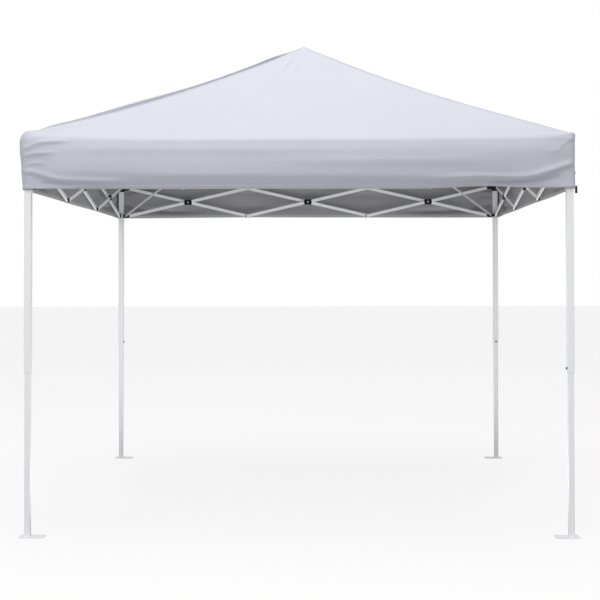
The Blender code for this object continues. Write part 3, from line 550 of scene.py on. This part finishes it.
def welt(side, along, rows):
    """How far the ridge seams stand up: their columns rise to a rounded crest, higher on the front left ridge,
    where the seam allowance stands on edge, from just below the peak to just above the eave."""
    length = 2 * COVER_HALF
    share = np.linspace(0, 1, rows)[:, None]
    fade = smooth_step(share, 0.05, 0.20) * (1 - smooth_step(share, 0.86, 0.95))
    from_ridge = np.minimum(along, length - along)
    crest = 1 - smooth_step(from_ridge, 0.003, 1.3 * CORNER_RADIUS)
    standing = ((side == 0) & (along < 1)) | ((side == 3) & (along > 1))
    uneven = SEAM_STAND * (1 + 0.9 * bell(share - 0.60, 0.11) + 0.35 * bell(share - 0.20, 0.07))
    return fade * crest * np.where(standing, uneven, WELT_HEIGHT)


def hem_wave(side, along, over):
    """How far the cloth's lower edge rises, so that the hem isn't ruled straight: it hangs a little below the truss
    joints and lifts in one place on the front and the rear."""
    rise = 0.0010 * np.sin(1.7 * along + 1.1 + 1.9 * side) + 0.0006 * np.sin(4.9 * along + 0.4 + side)
    rise = rise + np.where(side == 0, 0.0120, 0.0) * bell(along - 2.50, 0.20)
    rise = rise + np.where(side == 2, 0.0040, 0.0) * bell(along - 1.9, 0.4)
    return (rise - HEM_DROP) * (1 - smooth_step(over, 0.0, 0.20))


PLEATS = 12              # folds that a side gathers into as the shelter is pushed together
PLEAT_DEPTH = 0.115      # how far they stand out when it is folded
FOLDED_SPACING = 0.340   # between two legs then
TRAVEL = 2 * LEG_HALF - FOLDED_SPACING
SINK = 0.137             # the mast's drop as a share of the sliders'
BY_LEG = 0.05            # cloth this near to a leg's centre goes with it
CROWN = 0.055            # half width of the cloth that rests on the mast's cap
CROWN_FADE = 0.025       # and how far its hold on the cloth reaches past that
SHARE_STEPS = 4096       # a vertex's share is rounded to one of these


def leg_shares(x, y):
    """How much of each leg's travel a point of the cover takes as the shelter folds, and how much of the mast's.
    The cloth next to a leg goes with that leg alone and the crown goes with the mast. In between, the share of the
    right hand legs grows evenly with x and that of the rear legs with y, outside a core as wide as the crown, and a
    wave is added to the share that points out of each side, so that the slack cloth stands out in upright pleats. A
    small part of each leg's share goes to its slider, which also slides down, so that the roof sinks with the
    crown."""
    reach, folded = LEG_HALF - BY_LEG, FOLDED_SPACING / 2 - BY_LEG
    larger = np.maximum(abs(x), abs(y))
    mast = 1 - smooth_step(larger, CROWN, CROWN + CROWN_FADE)
    crown = CROWN * (1 - smooth_step(larger, 0.30, 1.30))
    shares = []
    for own, other in ((x, y), (y, x)):
        moved = np.clip(abs(own), crown, reach)
        even = 0.5 + np.sign(own) * (moved - crown) * (1 - (folded - crown) / (reach - crown)) / TRAVEL
        place = np.clip(other / reach, -1, 1)
        count = np.floor((place + 1) / 2 * PLEATS)
        unlike = 0.86 + 0.14 * np.sin(2.3 * count + own)      # no two pleats are as deep
        wave = (0.5 - 0.5 * np.cos(PLEATS * math.pi * (place + 1))) * unlike
        wave = wave * smooth_step(abs(own) - abs(other), 0.0, 0.10) * (larger / COVER_HALF) ** 1.5
        shares.append(even - np.sign(own) * PLEAT_DEPTH / TRAVEL * wave)
    right, rear = np.clip(shares, 0, 1)
    sink = SINK * (1 - larger / COVER_HALF)
    result = {"mast": mast}
    for corner in CORNERS:
        share = (right if corner.endswith("right") else 1 - right) * (1 - rear if corner.startswith("front") else rear)
        if corner != "front_left":
            result["leg_" + corner] = (1 - mast) * (1 - sink) * share
        result["slider_" + corner] = (1 - mast) * sink * share
    return result


def go_with_legs(obj):
    """Hooks a piece of cloth to the bodies that it hangs from. They slide without turning, so the cloth moves by
    the sum of their travels, each times its share, which is rounded to a step of the vertex group."""
    points = np.empty(3 * len(obj.data.vertices))
    obj.data.vertices.foreach_get("co", points)
    x, y, _ = points.reshape(-1, 3).T
    for body, share in leg_shares(x, y).items():
        group = obj.vertex_groups.new(name=body)
        level = np.round(share * SHARE_STEPS).astype(int)
        order = np.argsort(level, kind="stable")
        steps, starts = np.unique(level[order], return_index=True)
        for step, members in zip(steps.tolist(), np.split(order, starts[1:])):
            if step:
                group.add(members.tolist(), step / SHARE_STEPS, "REPLACE")
        hook = obj.modifiers.new(body, "HOOK")
        hook.object = frame["bodies"][body]
        hook.vertex_group = body
        hook.falloff_type = "NONE"
        hook.strength = 1.0
        hook.matrix_inverse = Matrix()


def map_cloth(obj, name, across, down):
    """Gives a piece of cloth a UV map from two arrays of distances in metres, one value per vertex."""
    corner = np.empty(len(obj.data.loops), np.int32)
    obj.data.loops.foreach_get("vertex_index", corner)
    flat = np.stack([across, down], -1)
    layer = obj.data.uv_layers.new(name=name)
    layer.uv.foreach_set("vector", flat[corner].astype(np.float32).ravel())


def build_cover():
    """The roof and valance as one sheet, with its two maps: "cloth" follows the threads, along the side and down
    the panel, and "seams" is the distance from the nearest ridge or corner seam and the height over the hem."""
    grid, side, along = cover_grid()
    off = drape(grid, side, along)
    off[:ROOF_ROWS] += welt(side, along, ROOF_ROWS)
    off += HEM_PROUD * (grid[..., 2] < HEM + HEM_BAND - HEM_EDGE / 2)
    over = grid[..., 2] - HEM
    lift = hem_wave(side, along, over) * (np.arange(len(grid))[:, None] > ROOF_ROWS)
    taut = grid
    grid = grid + outward(grid) * off[..., None]
    grid[..., 2] += lift
    rows, columns = grid.shape[:2]
    points = np.concatenate([grid.reshape(-1, 3), [[0, 0, PEAK]]])
    faces = ring_faces(columns, rows)[:, ::-1].tolist()
    tip = len(points) - 1
    faces += [[tip, column, (column + 1) % columns] for column in range(columns)]
    cover = piece("cover", points, faces, [CLOTH, LINING], "shelter_frame")
    step = np.linalg.norm(np.diff(grid, axis=0), axis=-1)
    down = np.concatenate([np.full((1, columns), np.linalg.norm(grid[0] - [0, 0, PEAK], axis=-1)), step]).cumsum(0)
    turned = side * math.pi / 2
    run = grid[..., 0] * np.cos(turned) + grid[..., 1] * np.sin(turned) + 4 * side
    map_cloth(cover, "cloth", np.append(run.ravel(), 0.0), np.append(down.ravel(), 0.0))
    ridge = np.abs(np.abs(taut[..., 0]) - np.abs(taut[..., 1])) / math.sqrt(2)
    corner = np.minimum(along, 2 * COVER_HALF - along)
    from_seam = np.where(np.arange(rows)[:, None] < ROOF_ROWS, ridge, corner)
    map_cloth(cover, "seams", np.append(from_seam.ravel(), 0.0), np.append((taut[..., 2] - HEM).ravel(), 1.0))
    go_with_legs(cover)
    wall = cover.modifiers.new("thickness", "SOLIDIFY")
    wall.thickness = CLOTH_THICKNESS
    wall.offset = -1
    wall.material_offset = 1
    wall.material_offset_rim = 0
    return cover, grid


cover, cover_points = build_cover()
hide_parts("canopy")

# ---- the truss bars: enamelled tubes with a moulded sleeve, plugged ends and plated rivets ----
BAR_HEIGHT, BAR_THICKNESS = 0.022, 0.011
BAR_END = 0.012          # tube past its end pivot
BAR_LAYER = 0.00015      # leg line to the near face of a bar
SLEEVE_HALF = 0.0291     # half the sleeve's length
RIVET_HEAD = 0.0056
SLEEVE_GROOVE = 0.019    # from the sleeve's middle
PLUG_SIDES = 16          # points round a plug
# Rings of a plug: distance past the tube's mouth, then height and depth as shares of the bar's.
PLUG_RINGS = ((-0.008, 0.88, 0.80), (-0.0001, 0.88, 0.80), (0.0, 1.14, 1.04), (0.0044, 1.14, 1.04),
              (0.0058, 1.02, 0.86), (0.0062, 0.50, 0.45))
TRUSS_HEIGHT = 0.218     # between the upper and the lower pivots
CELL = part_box("front_climbing_bar_3")[0].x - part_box("front_climbing_bar_2")[0].x
BAR_LENGTH = math.hypot(CELL, TRUSS_HEIGHT)
BAR_SLOPE = math.atan2(TRUSS_HEIGHT, CELL)


def bar_frame(name):
    """Where a truss bar is: its middle, the direction along it and the direction across it in the truss's plane,
    and the direction out of the shelter."""
    side, kind, _, _ = name.split("_")
    low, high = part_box(name)
    turn = Matrix.Rotation(SIDES.index(side) * math.pi / 2, 3, "Z")
    fall = BAR_SLOPE if kind == "falling" else -BAR_SLOPE
    along = turn @ Vector((math.cos(fall), 0, -math.sin(fall)))
    across = turn @ Vector((math.sin(fall), 0, math.cos(fall)))
    out = turn @ Vector((0, -1, 0))
    middle = (low + high) / 2
    middle += out * (LEG_HALF - middle.dot(out))
    middle.z = TRUSS_MIDDLE
    return middle, along, across, out


def bar_finish(name):
    """One bar's finish: enamel on the tube, black moulding within the sleeve's length, with a groove near one end
    of it painted a darker black as painted shade, and zinc plate on the rivet heads, which are the places near a
    pivot's axis."""
    enamelled = (0.87, 0.87, 0.875)
    finish = Finish(name + "_finish", enamelled, 0.36)
    middle, along, across, _ = bar_frame(name)
    space = finish.place()
    apart = finish.node("VectorMath", {0: space, 1: middle}, operation="SUBTRACT").outputs[0]
    run = finish.node("VectorMath", {0: apart, 1: along}, operation="DOT_PRODUCT").outputs["Value"]
    rise = finish.node("VectorMath", {0: apart, 1: across}, operation="DOT_PRODUCT").outputs["Value"]
    from_middle = finish.maths("ABSOLUTE", run)
    sleeve = finish.maths("LESS_THAN", from_middle, SLEEVE_HALF)
    groove = finish.maths("COMPARE", run, SLEEVE_GROOVE)
    groove.node.inputs[2].default_value = 0.0007      # half its width
    ends = finish.maths("SUBTRACT", from_middle, BAR_LENGTH / 2)
    pivot = finish.maths("MINIMUM", from_middle, finish.maths("ABSOLUTE", ends))
    squares = finish.maths("ADD", finish.maths("POWER", pivot, 2.0), finish.maths("POWER", rise, 2.0))
    radius = finish.maths("POWER", squares, 0.5)
    plated = finish.maths("LESS_THAN", radius, RIVET_HEAD if "falling" in name else 0.0)
    cloud = finish.noise(space, 14.0, 4.0)
    rubbed = finish.range(finish.noise(space, 60.0, 4.0), 0.4, 0.8, 0.0, 1.0)
    scuff = finish.noise(finish.place(scale=(120, 120, 120)), 1.0, 4.0, 0.6)
    marks = finish.range(scuff, 0.60, 0.72, 0.0, 0.45)
    tube = finish.mix(marks, enamelled, (0.68, 0.68, 0.69))
    black = finish.mix(rubbed, (0.007, 0.007, 0.008), (0.018, 0.018, 0.019))
    finish.to("Specular IOR Level", finish.range(sleeve, 0.0, 1.0, 0.35, 0.12))
    covered = finish.mix(finish.maths("MULTIPLY", sleeve, finish.maths("SUBTRACT", 1.0, groove)), tube, black)
    # painted shade: the groove is a darker black than the moulding beside it
    covered = finish.mix(finish.maths("MULTIPLY", sleeve, groove), covered, (0.004, 0.004, 0.004))
    finish.to("Base Color", finish.mix(plated, covered, (0.72, 0.72, 0.71)))
    finish.to("Metallic", finish.maths("MULTIPLY", plated, 0.85))
    gloss = finish.range(cloud, 0.3, 0.7, 0.32, 0.44)
    finish.to("Roughness", finish.maths("ADD", gloss, finish.maths("MULTIPLY", sleeve, 0.10)))
    grain = finish.bump(finish.noise(space, 1500.0, 2.0), 0.0001, 0.5)
    finish.to("Normal", finish.bump(groove, 0.0006, 1.0, grain))
    return finish.material


def plug_rings(name):
    """A moulded plug in each mouth of a bar's tube: rounded rectangles carried along the bar, from inside the tube
    to a lip over its end and a slightly domed face."""
    middle, along, across, out = (np.array(v) for v in bar_frame(name))
    inward = -1 if "climbing" in name else 1
    centre = middle - inward * out * (BAR_LAYER + BAR_THICKNESS / 2 + 0.0003)
    angle = np.linspace(0, 2 * math.pi, PLUG_SIDES, endpoint=False)
    c, s = np.cos(angle), np.sin(angle)
    round_box = np.stack([np.sign(c) * np.abs(c) ** 0.4, np.sign(s) * np.abs(s) ** 0.4], -1)
    mouth = BAR_LENGTH / 2 + BAR_END
    points, faces = [], []
    for end in (-1, 1):
        rings = [
            centre + end * along * (mouth + step)
            + round_box[:, :1] * across * tall * BAR_HEIGHT / 2 + round_box[:, 1:] * out * deep * BAR_THICKNESS / 2
            for step, tall, deep in PLUG_RINGS
        ]
        start = len(points) * PLUG_SIDES * len(PLUG_RINGS)
        last = start + PLUG_SIDES * (len(PLUG_RINGS) - 1)
        points.append(np.concatenate(rings))
        quads = ring_faces(PLUG_SIDES, len(PLUG_RINGS), start)
        caps = [list(range(ring, ring + PLUG_SIDES)) for ring in (start, last)]
        if end * inward_hand(along, across, out) > 0:
            faces += quads.tolist() + [caps[0][::-1], caps[1]]
        else:
            faces += quads[:, ::-1].tolist() + [caps[0], caps[1][::-1]]
    return np.concatenate(points), faces


def inward_hand(along, across, out):
    """1 where the ring from across to out turns right-handed about along, else -1."""
    return float(np.sign(np.dot(np.cross(across, out), along)))


TRUSS_LOW, TRUSS_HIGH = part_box("front_climbing_bar_2")
TRUSS_MIDDLE = (TRUSS_LOW.z + TRUSS_HIGH.z) / 2
for side in SIDES:
    for kind in ("falling", "climbing"):
        for cell in (1, 2, 3):
            bar = f"{side}_{kind}_bar_{cell}"
            points, faces = plug_rings(bar)
            plugs = piece(bar + ".plugs", points, faces, [BLACK], bar)
            frame["nodes"][bar].material_slots[0].material = bar_finish(bar)


# ---- finishes of the rest of the frame ----
COLLAR_HALF = 0.0230     # outer half width of a slider's collar


def slider_finish():
    """Pale moulding round the leg, within the collar, and black ears."""
    nylon = (0.55, 0.56, 0.58)
    finish = Finish("slider_moulding", nylon, 0.46)
    space = finish.place()
    place = finish.node("SeparateXYZ", {"Vector": space}).outputs
    away = [
        finish.maths("ABSOLUTE", finish.maths("SUBTRACT", finish.maths("ABSOLUTE", place[axis]), LEG_HALF))
        for axis in "XY"
    ]
    ears = finish.maths("GREATER_THAN", finish.maths("MAXIMUM", *away), COLLAR_HALF + 0.0002)
    rubbed = finish.range(finish.noise(space, 60.0, 4.0), 0.35, 0.75, 0.0, 1.0)
    pale = finish.mix(rubbed, nylon, (0.64, 0.65, 0.67))
    dark = finish.mix(rubbed, (0.012, 0.012, 0.013), (0.028, 0.028, 0.030))
    finish.to("Base Color", finish.mix(ears, pale, dark))
    finish.to("Roughness", finish.range(rubbed, 0.0, 1.0, 0.52, 0.42))
    finish.to("Normal", finish.bump(finish.noise(space, 2400.0, 2.0), 0.00012, 0.6))
    return finish.material


FINISHES = {"painted": ENAMEL, "grey": STEEL, "black": BLACK, "light": slider_finish(), "webbing": WEBBING}
for name, node in frame["nodes"].items():
    for slot in node.material_slots:
        if slot.material.name in FINISHES:
            slot.material = FINISHES[slot.material.name]


# ---- webbing tab at the hem, beside the front right leg ----
def build_tab():
    """A loop of webbing with both its ends sewn into the corner seam at the hem, edge on to it: a ribbon carried
    down, opening as it goes, round a half circle and straight up again behind itself."""
    low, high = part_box("strap_front_right")
    middle = high.y * 0.5 + low.y * 0.5
    near = cover_face(middle) + 0.0006
    width, thick, bend = high.y - low.y, 0.0011, 0.0026
    sewn = 0.0009            # from the loop's middle to either end at the seam
    down = np.linspace(high.z, low.z + bend, 14)
    open_by = smooth_step(down, high.z, high.z - 0.012)
    angle = np.linspace(0, math.pi, 9)[1:-1]
    path = np.concatenate([
        np.stack([middle - sewn - (bend - sewn) * open_by, down], -1),
        np.stack([middle - bend * np.cos(angle), low.z + bend - bend * np.sin(angle)], -1),
        np.stack([middle + sewn + (bend - sewn) * open_by, down], -1)[::-1],
    ])
    across = np.linspace(0, 1, 7)
    bowed = 0.0002 * (1 - (2 * across - 1) ** 2)
    points = np.stack(np.broadcast_arrays(near + width * across, path[:, :1] + bowed, path[:, 1:]), -1)
    rows, columns = points.shape[:2]
    row, column = np.meshgrid(np.arange(rows - 1), np.arange(columns - 1), indexing="ij")
    quads = np.stack([row * columns + column, (row + 1) * columns + column,
                      (row + 1) * columns + column + 1, row * columns + column + 1], -1).reshape(-1, 4)
    tab = piece("hem_tab", points.reshape(-1, 3), quads.tolist(), [WEBBING], "leg_front_right")
    gone = np.concatenate([[0], np.linalg.norm(np.diff(path, axis=0), axis=-1)]).cumsum()
    flat = np.broadcast_arrays(width * across, gone[:, None])
    map_cloth(tab, "cloth", flat[0].ravel(), flat[1].ravel())
    wall = tab.modifiers.new("thickness", "SOLIDIFY")
    wall.thickness = thick
    wall.offset = 0
    return tab


def cover_face(y):
    """How far out the right hand valance stands beside the front leg, at the hem and the given y."""
    ring = cover_points[-4:].reshape(-1, 3)
    beside = ring[(np.abs(ring[:, 1] - y) < 0.012) & (ring[:, 0] > 0)]
    return float(beside[:, 0].max())


tab = build_tab()
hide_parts("strap_front_right")

# ---- floor, light and camera ----
def stage():
    """A wide pale floor that keeps soft shadows and reads as white to the camera."""
    reach = 60.0
    corners = [(-reach, -reach, 0), (reach, -reach, 0), (reach, reach, 0), (-reach, reach, 0)]
    floor = bpy.data.objects.new("floor", bpy.data.meshes.new("floor"))
    floor.data.from_pydata(corners, [], [(0, 1, 2, 3)])
    bpy.context.scene.collection.objects.link(floor)
    paper = Finish("paper", (0.42, 0.42, 0.42), 0.9)
    paths = paper.node("LightPath")
    seen = paper.maths("MAXIMUM", paths.outputs["Is Camera Ray"], paths.outputs["Is Glossy Ray"])
    glow = paper.node("Emission", {"Color": (1, 1, 1, 1), "Strength": 1.34})
    share = paper.maths("MULTIPLY", seen, 0.60)
    mixed = paper.node("MixShader", {"Fac": share, 1: paper.shader.outputs[0], 2: glow.outputs[0]})
    paper.tree.links.new(mixed.outputs[0], paper.tree.nodes["Material Output"].inputs["Surface"])
    floor.data.materials.append(paper.material)


def lamp(name, place, target, size, power, colour=(1, 1, 1)):
    """A square soft lamp that looks at target."""
    data = bpy.data.lights.new(name, "AREA")
    data.size = size
    data.energy = power
    data.color = colour
    made = bpy.data.objects.new(name, data)
    bpy.context.scene.collection.objects.link(made)
    direction = Vector(target) - Vector(place)
    made.matrix_world = Matrix.Translation(place) @ direction.to_track_quat("-Z", "Y").to_matrix().to_4x4()
    made.visible_camera = False


def studio():
    """A pale even world that looks white to the camera, and five soft lamps."""
    world = bpy.data.worlds.new("studio")
    bpy.context.scene.world = world
    world.use_nodes = True
    tree = world.node_tree
    light = tree.nodes["Background"]
    light.inputs["Color"].default_value = (0.97, 0.98, 1.0, 1)
    light.inputs["Strength"].default_value = 0.42
    white, paths, seen, again, mixed = (
        tree.nodes.new("ShaderNode" + kind) for kind in ("Background", "LightPath", "Math", "Math", "MixShader")
    )
    white.inputs["Color"].default_value = (1, 1, 1, 1)
    white.inputs["Strength"].default_value = 1.0
    seen.operation = again.operation = "MAXIMUM"
    for source, target in (
        (paths.outputs["Is Camera Ray"], seen.inputs[0]),
        (paths.outputs["Is Glossy Ray"], seen.inputs[1]),
        (seen.outputs[0], again.inputs[0]),
        (paths.outputs["Is Transmission Ray"], again.inputs[1]),
        (again.outputs[0], mixed.inputs[0]),
        (light.outputs[0], mixed.inputs[1]),
        (white.outputs[0], mixed.inputs[2]),
        (mixed.outputs[0], tree.nodes["World Output"].inputs["Surface"]),
    ):
        tree.links.new(source, target)
    lamp("key", (-2.5, -7.0, 6.5), (0, 0, 1.6), 5.0, 262)
    lamp("top", (0.0, -0.5, 8.0), (0, 0, 2.0), 6.0, 279, (1.0, 0.988, 0.955))
    lamp("fill", (6.5, -6.0, 2.6), (1.2, -1.2, 1.5), 3.0, 38)
    lamp("front", (0.8, -10.0, 1.3), (0, 0, 1.9), 2.4, 92, (0.965, 0.98, 1.0))
    lamp("reflector", (0, -0.2, 0.03), (0, -0.2, 2.0), 2.4, 45)


def camera():
    """A long lens from in front, at about eye height, shifted up as a view camera's is."""
    data = bpy.data.cameras.new("camera")
    data.sensor_width = 36.0
    data.lens = 72.44
    data.shift_x = -0.0240
    data.shift_y = -0.0663
    made = bpy.data.objects.new("camera", data)
    bpy.context.scene.collection.objects.link(made)
    turn = (Matrix.Rotation(math.radians(0.713), 4, "Z") @ Matrix.Rotation(math.radians(91.018), 4, "X")
            @ Matrix.Rotation(math.radians(-0.111), 4, "Z"))
    made.matrix_world = Matrix.Translation((0.1692, -8.0404, 1.3838)) @ turn
    bpy.context.scene.camera = made


stage()
studio()
camera()
bpy.context.scene.view_settings.view_transform = "Standard"
